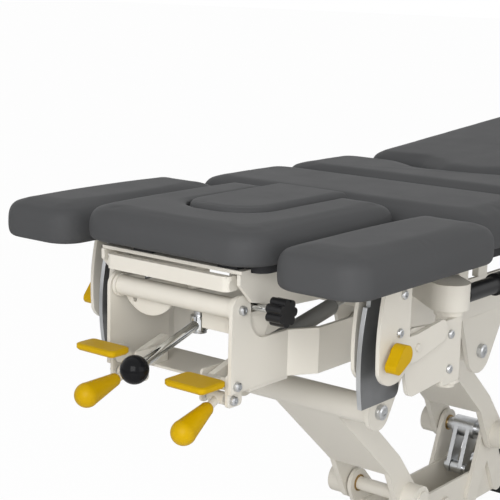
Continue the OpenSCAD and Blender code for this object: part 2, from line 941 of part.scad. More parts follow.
// Bolts and pins of the upper frame. The rear upper pins end short of the rear arm's tube.
module frame_bolts() {
    color(steel)
    placed()
    both_sides() {
        rod_y(front_top, tube_end - pin_depth, rail_in + pin_head_h, pin_d);
        rod_y(rear_top, rail_in - hanger_plate, rail_in + pin_head_h, pin_d);
        for (p = [front_top, rear_top])
            rod_y(p, rail_in, rail_in + pin_head_h, pin_head_d);
        rod_y(nose_pivot, disc_y - pin_depth, plate_in + plate_t + bolt_head_h, bolt_d);
        rod_y(nose_pivot, plate_in + plate_t, plate_in + plate_t + bolt_head_h, bolt_head_d);
        rod_y(paddle_shaft, lever_inner_y - bracket_end, plate_in + plate_t + bolt_head_h, lever_shaft_d);
        rod_y(paddle_shaft, plate_in + plate_t, plate_in + plate_t + bolt_head_h, bolt_head_d);
        rod_y(club_shaft, lever_inner_y - bracket_end, plate_in + bolt_head_h, lever_shaft_d);
        rod_y(club_shaft, plate_in, plate_in + bolt_head_h, bolt_head_d);
        for (p = [head_hinge, leg_hinge]) {
            rod_y(p, cheek_y - stop_y, rail_in + plate_t + bolt_head_h, hinge_pin_d);
            rod_y(p, rail_in + plate_t, rail_in + plate_t + bolt_head_h, bolt_head_d);
        }
    }
    color(steel)
    placed()
    rod_y(spring_low, spring_y - spring_eye_half - spring_lug_t - side_gap,
          spring_y + spring_eye_half + spring_lug_t + side_gap, spring_pin_d);
    color(steel)
    placed()
    rod_y(leg_spring_low, leg_spring_y - leg_eye_half - side_gap, rail_in - hanger_plate, spring_pin_d);
}

// Armrest supports: a plate on the rail, an arm out to the swivel and the swivel pin below it.
support_z0 = 749;
support_z1 = 789;
support_r = 30;
support_root = [430, 175];
support_root_r = 28;
support_x = [400, 500];
support_plate_t = 8;
support_plate_z0 = 684;
swivel_z0 = 637;
swivel_top = support_z0 - side_gap;
cap_d = 30;
cap_t = 6;
support_wall = 6;

module armrest_supports() {
    rail_out = rail_in + plate_t;
    color(paint)
    placed()
    both_sides() {
        difference() {
            slab_z(support_z0, support_z1)
            union() {
                strap([swivel_x, swivel_y], support_r, support_root, support_root_r);
                translate([support_root.x - support_root_r, rail_out])
                square([2 * support_root_r, support_root.y - rail_out]);
            }
            slab_z(support_z0 + support_wall, support_z1 - support_wall)
            translate([support_root.x - support_root_r + support_wall, rail_out + support_plate_t])
            square([2 * support_root_r - 2 * support_wall, support_root.y - rail_out]);
        }
        box(support_x, [rail_out, rail_out + support_plate_t], [support_plate_z0, support_z1]);
        rod_z([swivel_x, swivel_y], swivel_z0 - side_gap - cap_t, support_z0, swivel_d);
        rod_z([swivel_x, swivel_y], swivel_z0 - side_gap - cap_t, swivel_z0 - side_gap, cap_d);
    }
}

// Boards under the trunk cushions.
board_in = 15;

module trunk_boards() {
    color(board_tone)
    placed() {
        slab_z(board_z0, trunk_pad_z0)
        round_box(thoracic_x0 + board_in, -trunk_pad_w / 2 + board_in, thoracic_x0 + thoracic_l - board_in,
                  trunk_pad_w / 2 - board_in, pad_corner - board_in);
        slab_z(board_z0, trunk_pad_z0)
        round_box(lumbar_x0 + board_in, -trunk_pad_w / 2 + board_in, notch_x0 - board_in / 2,
                  trunk_pad_w / 2 - board_in, pad_corner - board_in);
    }
}

module thoracic_cushion() {
    color(vinyl)
    placed()
    cushion(oblong(thoracic_x0, -trunk_pad_w / 2, thoracic_x0 + thoracic_l, trunk_pad_w / 2, pad_corner),
            trunk_pad_z0, trunk_pad_t);
}

// The notch leaves room for the tongue of the leg cushion to swing.
tongue_x0 = leg_pad_x0 - tongue_l;
notch_x0 = tongue_x0 - notch_gap - bracket_end;
notch_floor_half = 44;
notch_mouth_half = 125;

module lumbar_cushion() {
    x1 = lumbar_x0 + lumbar_l;
    w = trunk_pad_w / 2;
    outline = rounded([
        [[lumbar_x0, -w], pad_corner, corner_steps, 1], [[x1, -w], pad_corner, corner_steps, 1],
        [[x1, -notch_mouth_half], tongue_r, fillet_steps, 1],
        [[notch_x0, -notch_floor_half], tongue_r, fillet_steps, 1],
        [[notch_x0, notch_floor_half], tongue_r, fillet_steps, 1],
        [[x1, notch_mouth_half], tongue_r, fillet_steps, 1],
        [[x1, w], pad_corner, corner_steps, 1], [[lumbar_x0, w], pad_corner, corner_steps, 1]]);
    color(vinyl)
    placed()
    cushion(outline, trunk_pad_z0, trunk_pad_t);
}

// Post of the knob lever.
post_d = 16;
post_z0 = 728;
post_collar_d = 22;
post_collar_h = 4;
lever_hub_d = 26;
lever_hub_h = 20;
lever_rod_d = 14;

module lever_post() {
    color(steel)
    placed() {
        rod_z(post_at, post_z0 - post_collar_h, tab_z0, post_d);
        rod_z(post_at, post_z0 - post_collar_h, post_z0, post_collar_d);
    }
}

module ball_lever() {
    hub = [post_at.x, post_at.y, post_z0 + side_gap + lever_hub_h / 2];
    color(steel)
    placed()
    difference() {
        union() {
            rod_z(post_at, post_z0 + side_gap, post_z0 + side_gap + lever_hub_h, lever_hub_d);
            bar(hub, ball_at, lever_rod_d, lever_rod_d);
            translate(ball_at)
            sphere(d = ball_d);
        }
        rod_z(post_at, post_z0 - cut, tab_z0, post_d + 2 * fit_gap);
    }
}

// Grip under the near armrest support.
grip_x = [438, 536];
grip_y = -232;
grip_z = 756;
grip_d = 28;
grip_knob_d = 36;
grip_knob_l = 26;
grip_block_x = [470, 490];
grip_block_half = 6;

module side_handle() {
    color(black)
    placed() {
        translate([grip_x[0], grip_y, grip_z])
        rotate([0, 90, 0])
        cylinder(d = grip_d, h = grip_x[1] - grip_x[0]);
        translate([grip_x[1], grip_y, grip_z])
        rotate([0, 90, 0])
        cylinder(d = grip_knob_d, h = grip_knob_l);
        box(grip_block_x, [grip_y, -rail_in - plate_t - support_plate_t],
            [grip_z - grip_block_half, grip_z + grip_block_half]);
    }
}

// Leg section, drawn level and then raised about its hinge.
leg_tube_y = [104, 134];
leg_tube_h = 25;
leg_tube_x0 = 862;
leg_end_in = 60;
leg_link_r = 12;
leg_link_x = 884;
leg_cross_x = [1050, 1400, 1850];
leg_board_x0 = 880;
leg_spring_y = 112;
leg_spring_low = [760, 690];
leg_spring_up = [1000, 770];
leg_eye_half = 6;
leg_lug_t = 4;
leg_lug_r = 11;
leg_tube_z0 = board_z0 - leg_tube_h;

module raised() {
    translate([leg_hinge.x, 0, leg_hinge.y])
    rotate([0, -leg_rise, 0])
    translate([-leg_hinge.x, 0, -leg_hinge.y])
    children();
}

module leg_frame() {
    x1 = leg_pad_x1 - leg_end_in;
    color(paint)
    placed()
    raised() {
        both_sides() {
            difference() {
                box([leg_tube_x0, x1], leg_tube_y, [leg_tube_z0, board_z0]);
                box([leg_tube_x0 - cut, x1 + cut], leg_tube_y + [tube_wall, -tube_wall],
                    [leg_tube_z0 + tube_wall, board_z0 - tube_wall]);
            }
            slab_y(leg_tube_y[1] - plate_t, leg_tube_y[1])
            difference() {
                strap(leg_hinge, leg_ear_r - cut, [leg_link_x, board_z0 - leg_tube_h / 2], leg_link_r);
                translate(leg_hinge)
                circle(d = hinge_pin_d + 2 * fit_gap);
            }
        }
        for (x = leg_cross_x)
            tube_y(x, x + bar_w, -leg_tube_y[0], leg_tube_y[0], leg_tube_z0, board_z0);
        // Lugs on both sides of the leg spring's eye.
        for (s = [-1, 1]) {
            inner = leg_spring_y + s * (leg_eye_half + side_gap);
            outer = leg_spring_y + s * (leg_eye_half + side_gap + leg_lug_t);
            slab_y(min(inner, outer), max(inner, outer))
            strap(leg_spring_up, leg_lug_r, [leg_spring_up.x, leg_tube_z0 + tube_wall / 2], leg_lug_r);
        }
    }
}

module leg_board() {
    color(board_tone)
    placed()
    raised()
    slab_z(board_z0, trunk_pad_z0)
    round_box(leg_board_x0, -leg_pad_w / 2 + board_in, leg_pad_x1 - board_in, leg_pad_w / 2 - board_in,
              pad_corner - board_in);
}

module leg_cushion() {
    w = leg_pad_w / 2;
    outline = rounded([
        [[leg_pad_x1, w], pad_corner, corner_steps, 1], [[leg_pad_x0, w], pad_corner, corner_steps, 1],
        [[leg_pad_x0, tongue_root_half], tongue_r, fillet_steps, 1],
        [[tongue_x0, tongue_tip_half], tongue_r, fillet_steps, 1],
        [[tongue_x0, -tongue_tip_half], tongue_r, fillet_steps, 1],
        [[leg_pad_x0, -tongue_root_half], tongue_r, fillet_steps, 1],
        [[leg_pad_x0, -w], pad_corner, corner_steps, 1], [[leg_pad_x1, -w], pad_corner, corner_steps, 1]]);
    color(vinyl)
    placed()
    raised()
    cushion(outline, trunk_pad_z0, trunk_pad_t);
}

// Gas springs: a cylinder with its lower eye and a rod with its upper eye, drawn between two points.
function turned(p, c, a) =
    c + [(p.x - c.x) * cos(a) - (p.y - c.y) * sin(a), (p.x - c.x) * sin(a) + (p.y - c.y) * cos(a)];

module spring_line(low, up, y) {
    v = up - low;
    translate([low.x, y, low.y])
    rotate([0, -atan2(v.y, v.x), 0])
    children();
}

module spring_eye(x, half, r, bore) {
    slab_y(-half, half)
    difference() {
        translate([x, 0])
        circle(r);
        translate([x, 0])
        circle(d = bore);
    }
}

spring_bore = spring_pin_d + 2 * fit_gap;
leg_cylinder_d = 20;
leg_cylinder_l = 196;
leg_rod_d = 10;
leg_rod_l = 104;
spring_eye_r = 9;
leg_spring_end = turned(leg_spring_up, leg_hinge, leg_rise);

module leg_spring_cylinder() {
    color(black)
    placed()
    spring_line(leg_spring_low, leg_spring_end, leg_spring_y) {
        spring_eye(0, leg_eye_half, spring_eye_r, spring_bore);
        difference() {
            along(spring_eye_r - cut / 2, leg_cylinder_l, leg_cylinder_d);
            along(spring_eye_r + leg_cylinder_d / 2, leg_cylinder_l + cut, leg_rod_d + 2 * fit_gap);
        }
    }
}

module leg_spring_rod() {
    reach = norm(leg_spring_end - leg_spring_low);
    color(steel)
    placed()
    spring_line(leg_spring_low, leg_spring_end, leg_spring_y) {
        spring_eye(reach, leg_eye_half, spring_eye_r, spring_pin_d);
        along(reach - leg_rod_l, reach - spring_eye_r + cut / 2, leg_rod_d);
    }
}

spring_up = [340, 752];
spring_d = 25;
spring_l = 216;
spring_cap_d = 20;
spring_cap_l = 6;
spring_neck = 14;
spring_neck_d = 10;
spring_rod_d = 12;
spring_rod_l = 90;

module head_spring_cylinder() {
    color(spring_grey)
    placed()
    spring_line(spring_low, spring_up, spring_y) {
        spring_eye(0, spring_eye_half, spring_eye_r, spring_bore);
        difference() {
            union() {
                along(spring_eye_r - cut / 2, spring_neck + cut, spring_neck_d);
                along(spring_neck, spring_l, spring_d);
                along(spring_l, spring_l + spring_cap_l, spring_cap_d);
            }
            along(spring_neck + spring_d / 2, spring_l + spring_cap_l + cut, spring_rod_d + 2 * fit_gap);
        }
    }
}

module head_spring_rod() {
    reach = norm(spring_up - spring_low);
    color(steel)
    placed()
    spring_line(spring_low, spring_up, spring_y) {
        spring_eye(reach, spring_eye_half, spring_eye_r, spring_pin_d);
        along(reach - spring_rod_l, reach - spring_eye_r + cut / 2, spring_rod_d);
    }
}

// Head section: two cheeks joined by bars, hinged at the rear.
cheek_y = 122;
cheek_plate = 6;
cheek_z1 = head_pad_z0 - board_t;
cheek_x0 = 22;
cheek_low_z = 794;
cheek_nose_r = 14;
cheek_mid_x = 150;
cheek_mid_z = 775;
cheek_belly_x = 210;
cheek_belly_z = 772;
strip_x = [24, 44];
strip_t = 5;
head_bar_x = [170, 300];
head_bar_w = 30;
head_bar_h = 12;
bar_link_r = 12;
release_pin = [60, 820];
release_pin_d = 8;
release_arm_y = [109, 112];
release_z = [811, 832];
release_x0 = 14;
release_x1 = 34;
release_wall = 3;
release_corner = 10;
release_flange = 9;
release_hub_r = 8;
release_stub_y = 105;

module cheek_profile() {
    difference() {
        union() {
            // Sheet between the top edge and the sloping, rounded underside.
            polygon([[cheek_x0, cheek_z1], [cheek_x0, cheek_low_z + 2 * cheek_nose_r],
                     [cheek_x0 + 2 * cheek_nose_r, cheek_low_z], [cheek_mid_x, cheek_mid_z],
                     [cheek_belly_x, cheek_belly_z], [head_hinge.x - 2 * hinge_ear_r, cheek_z1 - hinge_ear_r],
                     [head_hinge.x - 2 * hinge_ear_r, cheek_z1]]);
            strap([cheek_belly_x, cheek_belly_z + bar_link_r], bar_link_r, head_hinge, hinge_ear_r);
        }
        translate(head_hinge)
        circle(d = hinge_pin_d + 2 * fit_gap);
    }
}

module head_frame() {
    color(paint)
    placed() {
        both_sides() {
            slab_y(cheek_y, cheek_y + cheek_plate)
            cheek_profile();
            rod_y(release_pin, release_stub_y, cheek_y + cheek_plate, release_pin_d);
        }
        box(strip_x, [-cheek_y - cheek_plate, cheek_y + cheek_plate], [cheek_z1, cheek_z1 + strip_t]);
        for (x = head_bar_x)
            box([x, x + head_bar_w], [-cheek_y, cheek_y], [cheek_z1 - head_bar_h, cheek_z1]);
        // Lugs of the head spring.
        for (s = [-1, 1]) {
            inner = spring_y + s * (spring_eye_half + side_gap);
            outer = spring_y + s * (spring_eye_half + side_gap + spring_lug_t);
            slab_y(min(inner, outer), max(inner, outer))
            strap(spring_up, spring_lug_r, [head_bar_x[1] + head_bar_w / 2, cheek_z1 - spring_lug_r],
                  spring_lug_r);
        }
    }
}

head_board_x = [45, 316];
head_board_half = 148;
head_board_r = 20;
hole_half = 52;
hole_x0 = 130;
spacer_x = [27, 42];
spacer_y = [[35, 70], [-118, -84]];

module head_board() {
    color(board_tone)
    placed() {
        difference() {
            slab_z(cheek_z1, head_pad_z0)
            round_box(head_board_x[0], -head_board_half, head_board_x[1], head_board_half, head_board_r);
            slab_z(cheek_z1 - cut, head_pad_z0 + cut) {
                translate([hole_x0 + hole_half, 0])
                circle(hole_half);
                translate([hole_x0 + hole_half, -hole_half])
                square([head_board_x[1] - hole_x0, 2 * hole_half]);
            }
        }
        for (y = spacer_y)
            box(spacer_x, y, [cheek_z1 + strip_t, head_pad_z0]);
    }
}

// The face slot is cut through as a plain pocket, open at the rear edge.
module head_cushion() {
    w = head_pad_w / 2;
    outline = rounded([
        [[0, -w], head_pad_corner, corner_steps, 1], [[head_pad_l, -w], head_rear_corner, corner_steps, 1],
        [[head_pad_l, w], head_rear_corner, corner_steps, 1], [[0, w], head_pad_corner, corner_steps, 1]]);
    color(vinyl)
    placed()
    difference() {
        cushion(outline, head_pad_z0, head_pad_t);
        slab_z(head_pad_z0 - cut, head_pad_z0 + head_pad_t + cut)
        round_box(slot_x0, -slot_half_w, head_pad_l + 2 * slot_r, slot_half_w, slot_r);
    }
}

module face_plug() {
    w = slot_half_w - plug_gap;
    x0 = slot_x0 + plug_gap;
    k = plug_edge_share;
    outline = rounded([
        [[x0, -w], slot_r - plug_gap, corner_steps, k],
        [[head_pad_l, -w], slot_mouth_r + plug_gap, fillet_steps, k],
        [[head_pad_l, w], slot_mouth_r + plug_gap, fillet_steps, k],
        [[x0, w], slot_r - plug_gap, corner_steps, k]]);
    color(vinyl)
    placed()
    cushion(outline, head_pad_z0 + soft_gap, head_pad_t + plug_rise);
}

// Release bar across the front of the head section, bent round at both ends.
module release_bar() {
    color(paint)
    placed()
    difference() {
        union() {
            intersection() {
                slab_z(release_z[0], release_z[1])
                difference() {
                    round_box(release_x0, -release_arm_y[1], release_x1 + 2 * release_corner,
                              release_arm_y[1], release_corner);
                    round_box(release_x0 + release_wall, -release_arm_y[0], release_x1 + 4 * release_corner,
                              release_arm_y[0], release_corner - release_wall);
                }
                box([release_x0, release_x1], [-release_arm_y[1], release_arm_y[1]], release_z);
            }
            box([release_x0 + release_wall - cut, release_x0 + release_wall + release_flange],
                [-release_arm_y[0], release_arm_y[0]], [release_z[1] - release_wall, release_z[1]]);
            both_sides()
            slab_y(release_arm_y[0], release_arm_y[1])
            strap(release_pin, release_hub_r, [release_x1 - release_hub_r, release_pin.y], release_hub_r);
        }
        rod_y(release_pin, -release_arm_y[1] - cut, release_arm_y[1] + cut, release_pin_d + 2 * fit_gap);
    }
}

// Lobed knob on a threaded spindle.
knob_y = -150;
knob_l = 25;
knob_core_r = 15;
knob_lobe_r = 6.5;
knob_lobe_at = 13.5;
knob_lobes = 7;
knob_hub_d = 18;
knob_hub_l = 5;

module star_knob() {
    color(black)
    placed() {
        slab_y(knob_y - knob_l, knob_y)
        translate(nut_at) {
            circle(knob_core_r);
            for (i = [0 : knob_lobes - 1])
                rotate(360 * i / knob_lobes)
                translate([knob_lobe_at, 0])
                circle(knob_lobe_r);
        }
        rod_y(nut_at, knob_y, knob_y + knob_hub_l, knob_hub_d);
        rod_y(nut_at, knob_y, nut_y, spindle_d);
    }
}

// Paddle and club levers on the shafts at the head end.
hub_y = [68, 102];
lever_hub_r = 9;
paddle_t = 10;
paddle_corner = 9;
paddle_edge = 3;
paddle_link_y = [70, 92];
paddle_link_r = 5;
tail_y = [67, 77];
tail_end = [95, 698];
tail_r = 7;
club_y = 85;
club_rod_d = 12;
club_neck_d = 20;
club_d = 36;
club_start_share = 0.36;
hub_bore = lever_shaft_d + 2 * fit_gap;

module paddle(side, x, y, z0) {
    color(yellow)
    placed()
    difference() {
        scale([1, side, 1]) {
            rod_y(paddle_shaft, hub_y[0], hub_y[1], 2 * lever_hub_r);
            slab_y(paddle_link_y[0], paddle_link_y[1])
            strap(paddle_shaft, lever_hub_r, [x[1] - 2 * paddle_link_r, z0 + paddle_t / 2], paddle_link_r);
            slab_y(tail_y[0], tail_y[1])
            strap(paddle_shaft, lever_hub_r, tail_end, tail_r);
            hull() {
                slab_z(z0 + paddle_edge, z0 + paddle_t - paddle_edge / 2)
                round_box(x[0], y[0], x[1], y[1], paddle_corner, $fn = 32);
                slab_z(z0, z0 + paddle_t)
                round_box(x[0] + paddle_edge, y[0] + paddle_edge, x[1] - paddle_edge, y[1] - paddle_edge,
                          paddle_corner - paddle_edge, $fn = 32);
            }
        }
        rod_y(paddle_shaft, -hub_y[1] - cut, hub_y[1] + cut, hub_bore);
    }
}

paddle_far_x = [-36, 3];
paddle_far_y = [50, 125];
paddle_far_z = 698;
paddle_near_x = [-39, 14];
paddle_near_y = [46, 117];
paddle_near_z = 681;

module paddle_far() {
    paddle(1, paddle_far_x, paddle_far_y, paddle_far_z);
}

module paddle_near() {
    paddle(-1, paddle_near_x, paddle_near_y, paddle_near_z);
}

// The club's grip is one turned body: a rounded neck that swells to a round end.
module club_grip(l) {
    neck = club_start_share * l;
    rotate_extrude()
    union() {
        square([club_rod_d / 2, neck]);
        intersection() {
            union() {
                translate([0, neck])
                circle(d = club_neck_d);
                translate([0, l])
                circle(d = club_d);
                polygon([[0, neck], [club_neck_d / 2, neck], [club_d / 2, l], [0, l]]);
            }
            translate([0, neck - club_neck_d])
            square([club_d, l + club_d]);
        }
    }
}

module club(side, tip) {
    reach = tip - club_shaft;
    color(yellow)
    placed()
    translate([0, side * club_y, 0])
    difference() {
        union() {
            rod_y(club_shaft, -club_hub_half, club_hub_half, 2 * lever_hub_r);
            translate([club_shaft.x, 0, club_shaft.y])
            rotate([0, 90 - atan2(reach.y, reach.x), 0])
            club_grip(norm(reach));
        }
        rod_y(club_shaft, -club_hub_half - cut, club_hub_half + cut, hub_bore);
    }
}

club_hub_half = 14;
club_far_tip = [-50, 642];
club_near_tip = [-38, 624];

module club_far() {
    club(1, club_far_tip);
}

module club_near() {
    club(-1, club_near_tip);
}

// Armrest mechanism, drawn for the far side and mirrored to the near one.
tilt_axis = [244, 720];
tilt_pin_d = 12;
housing_wall = 9;
top_flange_d = 44;
top_flange_t = 7;
low_flange_d = 42;
low_flange_t = 5;
swing_plate_in = 4;
swing_plate_y = swivel_y + swivel_d / 2 + swing_plate_in;
swing_plate_t = 6;
swing_x1 = 380;
swing_bolt_x = 348;
swing_bolt_z = [665, 718];
swing_half = 24;
swing_low = [250, 664];
swing_low_r = 18;
swing_pivot_r = 27;
swing_root = [345, 714];
swing_root_r = 23;
swing_root_low = [347, 672];
swing_root_low_r = 20;
carrier_y = swing_plate_y + swing_plate_t + 2 * side_gap;
carrier_t = 6;
inner_y = 226;
sector_y = 240;
sector_t = 7;
carrier_top_t = 8;
carrier_top_x = [110, 345];
carrier_top_y = [215, 290];
carrier_top_z1 = arm_pad_z0;
carrier_top_z0 = arm_pad_z0 - carrier_top_t;
lobe_at = [309, 731];
lobe_r = 17;
upright_x = [144, 221];
upright_z0 = 680;
upright_mid_z = 735;
upright_corner = 35;
front_curve_r = 300;
sector_x = [138, 238];
sector_z = [646, 790];
sector_mid_z = 712;
sector_corner = 12;
hub_r = 20;
mirror_fit = 2 * fit_gap;

module far_side() {
    placed()
    children();
}

module near_side() {
    placed()
    mirror([0, 1, 0])
    children();
}

module bracket_shape() {
    tube_top = swivel_top - side_gap;
    difference() {
        union() {
            intersection() {
                rod_z([swivel_x, swivel_y], swivel_z0, tube_top, swivel_d + 2 * housing_wall);
                box([swivel_x - swivel_d - housing_wall, swivel_x + swivel_d + housing_wall],
                    [swivel_y - swivel_d - housing_wall, swing_plate_y + swing_plate_t],
                    [swivel_z0, tube_top]);
            }
            rod_z([swivel_x, swivel_y], tube_top - top_flange_t, tube_top, top_flange_d);
            rod_z([swivel_x, swivel_y], swivel_z0, swivel_z0 + low_flange_t, low_flange_d);
            slab_y(swing_plate_y, swing_plate_y + swing_plate_t) {
                translate([swing_x1 - 2 * swing_half, swivel_z0 + low_flange_t])
                square([2 * swing_half, tube_top - top_flange_t - swivel_z0 - low_flange_t]);
                strap(swing_root, swing_root_r, tilt_axis, swing_pivot_r);
                strap(swing_root_low, swing_root_low_r, swing_low, swing_low_r);
                strap(swing_low, swing_low_r, tilt_axis, swing_pivot_r);
                polygon([tilt_axis, swing_low, swing_root_low, swing_root]);
            }
            rod_y(tilt_axis, inner_y - stop_y, carrier_y + carrier_t + dome_h, tilt_pin_d);
            for (z = swing_bolt_z)
                rod_y([swing_bolt_x, z], swing_plate_y + swing_plate_t - cut,
                      swing_plate_y + swing_plate_t + dome_h, bolt_head_d);
        }
        rod_z([swivel_x, swivel_y], swivel_z0 - cut, tube_top + cut, swivel_d + mirror_fit);
    }
}

// Two upright plates on the tilt pin, with the cushion's mounting plate on top of them.
module upright_profile(lobed) {
    difference() {
        union() {
            intersection() {
                translate([upright_x[0] + front_curve_r, upright_mid_z])
                circle(front_curve_r, $fn = 180);
                round_box(upright_x[0] - side_gap, upright_z0, upright_x[1], carrier_top_z1 + upright_corner,
                          upright_corner);
                translate([upright_x[0] - upright_corner, upright_z0 - cut])
                square([front_curve_r, carrier_top_z0 - upright_z0 + cut]);
            }
            strap([upright_x[1] - 2 * hub_r, tilt_axis.y], hub_r, tilt_axis, hub_r);
            if (lobed)
                strap(tilt_axis, hub_r, lobe_at, lobe_r);
        }
        translate(tilt_axis)
        circle(d = tilt_pin_d + mirror_fit);
    }
}

module carrier_shape() {
    slab_y(carrier_y, carrier_y + carrier_t)
    upright_profile(true);
    slab_y(inner_y, inner_y + carrier_t)
    upright_profile(false);
    box(carrier_top_x, carrier_top_y, [carrier_top_z0, carrier_top_z1]);
}

module sector_shape() {
    slab_y(sector_y, sector_y + sector_t)
    difference() {
        union() {
            intersection() {
                translate([sector_x[0] + front_curve_r, sector_mid_z])
                circle(front_curve_r, $fn = 180);
                round_box(sector_x[0] - sector_corner, sector_z[0], sector_x[1], sector_z[1], sector_corner);
            }
            strap([sector_x[1] - 2 * hub_r, tilt_axis.y], hub_r, tilt_axis, hub_r);
        }
        translate(tilt_axis)
        circle(d = tilt_pin_d + mirror_fit);
    }
    slab_y(sector_y, sector_y + sector_t)
    translate([upright_x[0] + sector_corner, sector_z[1] - cut])
    square([upright_x[1] - upright_x[0] - sector_corner, carrier_top_z0 - sector_z[1] + cut]);
}

clamp_axis = [178, 727];
clamp_hub_r = 9;
clamp_tip = [160, 712];
clamp_tip_r = 9;
clamp_root_r = 14;
clamp_neck = 5;
clamp_y0 = carrier_y + carrier_t + clamp_neck;
clamp_t = 18;
clamp_pin_d = 8;

module clamp_shape() {
    difference() {
        union() {
            slab_y(clamp_y0, clamp_y0 + clamp_t)
            strap(clamp_axis, clamp_root_r, clamp_tip, clamp_tip_r);
            rod_y(clamp_axis, clamp_y0 - clamp_neck + side_gap, clamp_y0 + cut, 2 * clamp_hub_r);
        }
        rod_y(clamp_axis, clamp_y0 - clamp_neck, clamp_y0 + clamp_t / 2, clamp_pin_d + mirror_fit);
    }
}

// The carrier's own clamp stud.
module stud_shape() {
    rod_y(clamp_axis, carrier_y + carrier_t - cut, clamp_y0 + clamp_t / 2 - side_gap, clamp_pin_d);
}

module arm_cushion_shape() {
    cushion(oblong(0, arm_pad_y0, arm_pad_l, arm_pad_y0 + arm_pad_w, arm_pad_corner), arm_pad_z0, arm_pad_t);
}

module armrest_bracket_far() { color(paint) far_side() bracket_shape(); }
module armrest_bracket_near() { color(paint) near_side() bracket_shape(); }
module armrest_sector_far() { color(steel) far_side() sector_shape(); }
module armrest_sector_near() { color(steel) near_side() sector_shape(); }
module armrest_carrier_far() { color(paint) far_side() { carrier_shape(); stud_shape(); } }
module armrest_carrier_near() { color(paint) near_side() { carrier_shape(); stud_shape(); } }
module clamp_lever_far() { color(yellow) far_side() clamp_shape(); }
module clamp_lever_near() { color(yellow) near_side() clamp_shape(); }
module armrest_cushion_far() { color(vinyl) far_side() arm_cushion_shape(); }
module armrest_cushion_near() { color(vinyl) near_side() arm_cushion_shape(); }

module castor_fork_1() { castor_fork(foot_x0, -castor_y); }
module castor_fork_2() { castor_fork(foot_x0, castor_y); }
module castor_fork_3() { castor_fork(foot_x1, -castor_y); }
module castor_fork_4() { castor_fork(foot_x1, castor_y); }
module castor_wheel_1() { castor_wheel(foot_x0, -castor_y); }
module castor_wheel_2() { castor_wheel(foot_x0, castor_y); }
module castor_wheel_3() { castor_wheel(foot_x1, -castor_y); }
module castor_wheel_4() { castor_wheel(foot_x1, castor_y); }

base_beam();
front_leg();
rear_leg();
pivot_bushes();
control_box();
foot_bar();
castor_fork_1();
castor_fork_2();
castor_fork_3();
castor_fork_4();
castor_wheel_1();
castor_wheel_2();
castor_wheel_3();
castor_wheel_4();
front_arm();
rear_arm();
lift_crank();
actuator_body();
actuator_rod();
side_plate_far();
side_plate_near();
cross_members();
frame_risers();
head_tube();
frame_hangers();
frame_bolts();
armrest_supports();
trunk_boards();
thoracic_cushion();
lumbar_cushion();
lever_post();
side_handle();
leg_frame();
leg_board();
leg_cushion();
leg_spring_cylinder();
leg_spring_rod();
head_frame();
head_board();
head_cushion();
face_plug();
release_bar();
head_spring_cylinder();
head_spring_rod();
star_knob();
ball_lever();
paddle_far();
paddle_near();
club_far();
club_near();
armrest_bracket_far();
armrest_sector_far();
armrest_carrier_far();
clamp_lever_far();
armrest_cushion_far();
armrest_bracket_near();
armrest_sector_near();
armrest_carrier_near();
clamp_lever_near();
armrest_cushion_near();
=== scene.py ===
import json
import math

import bmesh
import bpy
from mathutils import Matrix, Vector


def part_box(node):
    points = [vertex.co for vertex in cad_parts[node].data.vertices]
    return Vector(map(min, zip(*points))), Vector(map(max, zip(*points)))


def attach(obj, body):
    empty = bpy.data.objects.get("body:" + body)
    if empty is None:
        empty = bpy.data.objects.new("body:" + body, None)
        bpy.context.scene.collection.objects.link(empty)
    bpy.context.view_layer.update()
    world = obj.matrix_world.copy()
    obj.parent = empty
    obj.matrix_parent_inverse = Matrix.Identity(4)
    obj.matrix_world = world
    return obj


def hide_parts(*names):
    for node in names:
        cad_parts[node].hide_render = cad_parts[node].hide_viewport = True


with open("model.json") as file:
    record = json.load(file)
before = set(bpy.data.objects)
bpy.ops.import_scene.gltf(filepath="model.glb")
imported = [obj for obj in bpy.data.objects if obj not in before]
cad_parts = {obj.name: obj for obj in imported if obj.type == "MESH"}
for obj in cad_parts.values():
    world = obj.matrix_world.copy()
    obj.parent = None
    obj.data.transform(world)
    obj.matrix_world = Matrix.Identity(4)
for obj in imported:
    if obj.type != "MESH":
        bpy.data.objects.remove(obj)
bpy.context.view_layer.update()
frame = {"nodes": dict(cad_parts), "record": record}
nodes = frame["nodes"]
scene = bpy.context.scene
mm = 0.001
headEnd = -0.930341  # where the head cushion's front edge lies along x


def spot(x, y, z):
    # a place given in millimetres from the head cushion's front edge, the middle line and the floor
    return Vector((headEnd + x * mm, y * mm, z * mm))


# Camera, fitted to the cushions' edges
camera = {
    "place": (-1332.59, -1204.32, 1224.04),
    "turn": 0.6647,
    "dip": 0.2013,
    "roll": 0.0258,
    "lens": 96.681,
}


def makeCamera(c):
    turn, dip, roll = c["turn"], c["dip"], c["roll"]
    ahead = Vector((math.cos(turn) * math.cos(dip), math.sin(turn) * math.cos(dip), -math.sin(dip)))
    side = Vector((math.sin(turn), -math.cos(turn), 0))
    up = side.cross(ahead)
    right = math.cos(roll) * side + math.sin(roll) * up
    top = math.cos(roll) * up - math.sin(roll) * side
    data = bpy.data.cameras.new("photoCamera")
    data.lens = c["lens"]
    data.clip_end = 100
    seat = bpy.data.objects.new("photoCamera", data)
    scene.collection.objects.link(seat)
    facing = Matrix((right, top, -ahead)).transposed().to_4x4()
    seat.matrix_world = Matrix.Translation(spot(*c["place"])) @ facing
    scene.camera = seat


makeCamera(camera)
print("camera placed")


# Finishes
def newLook(name, colour, roughness, metallic=0.0):
    look = bpy.data.materials.new(name)
    look.use_nodes = True
    shader = look.node_tree.nodes["Principled BSDF"]
    shader.inputs["Base Color"].default_value = (*colour, 1)
    shader.inputs["Roughness"].default_value = roughness
    shader.inputs["Metallic"].default_value = metallic
    return look, look.node_tree, shader


def addNode(tree, kind, **sockets):
    made = tree.nodes.new(kind)
    for name, value in sockets.items():
        made.inputs[name.replace("_", " ")].default_value = value
    return made


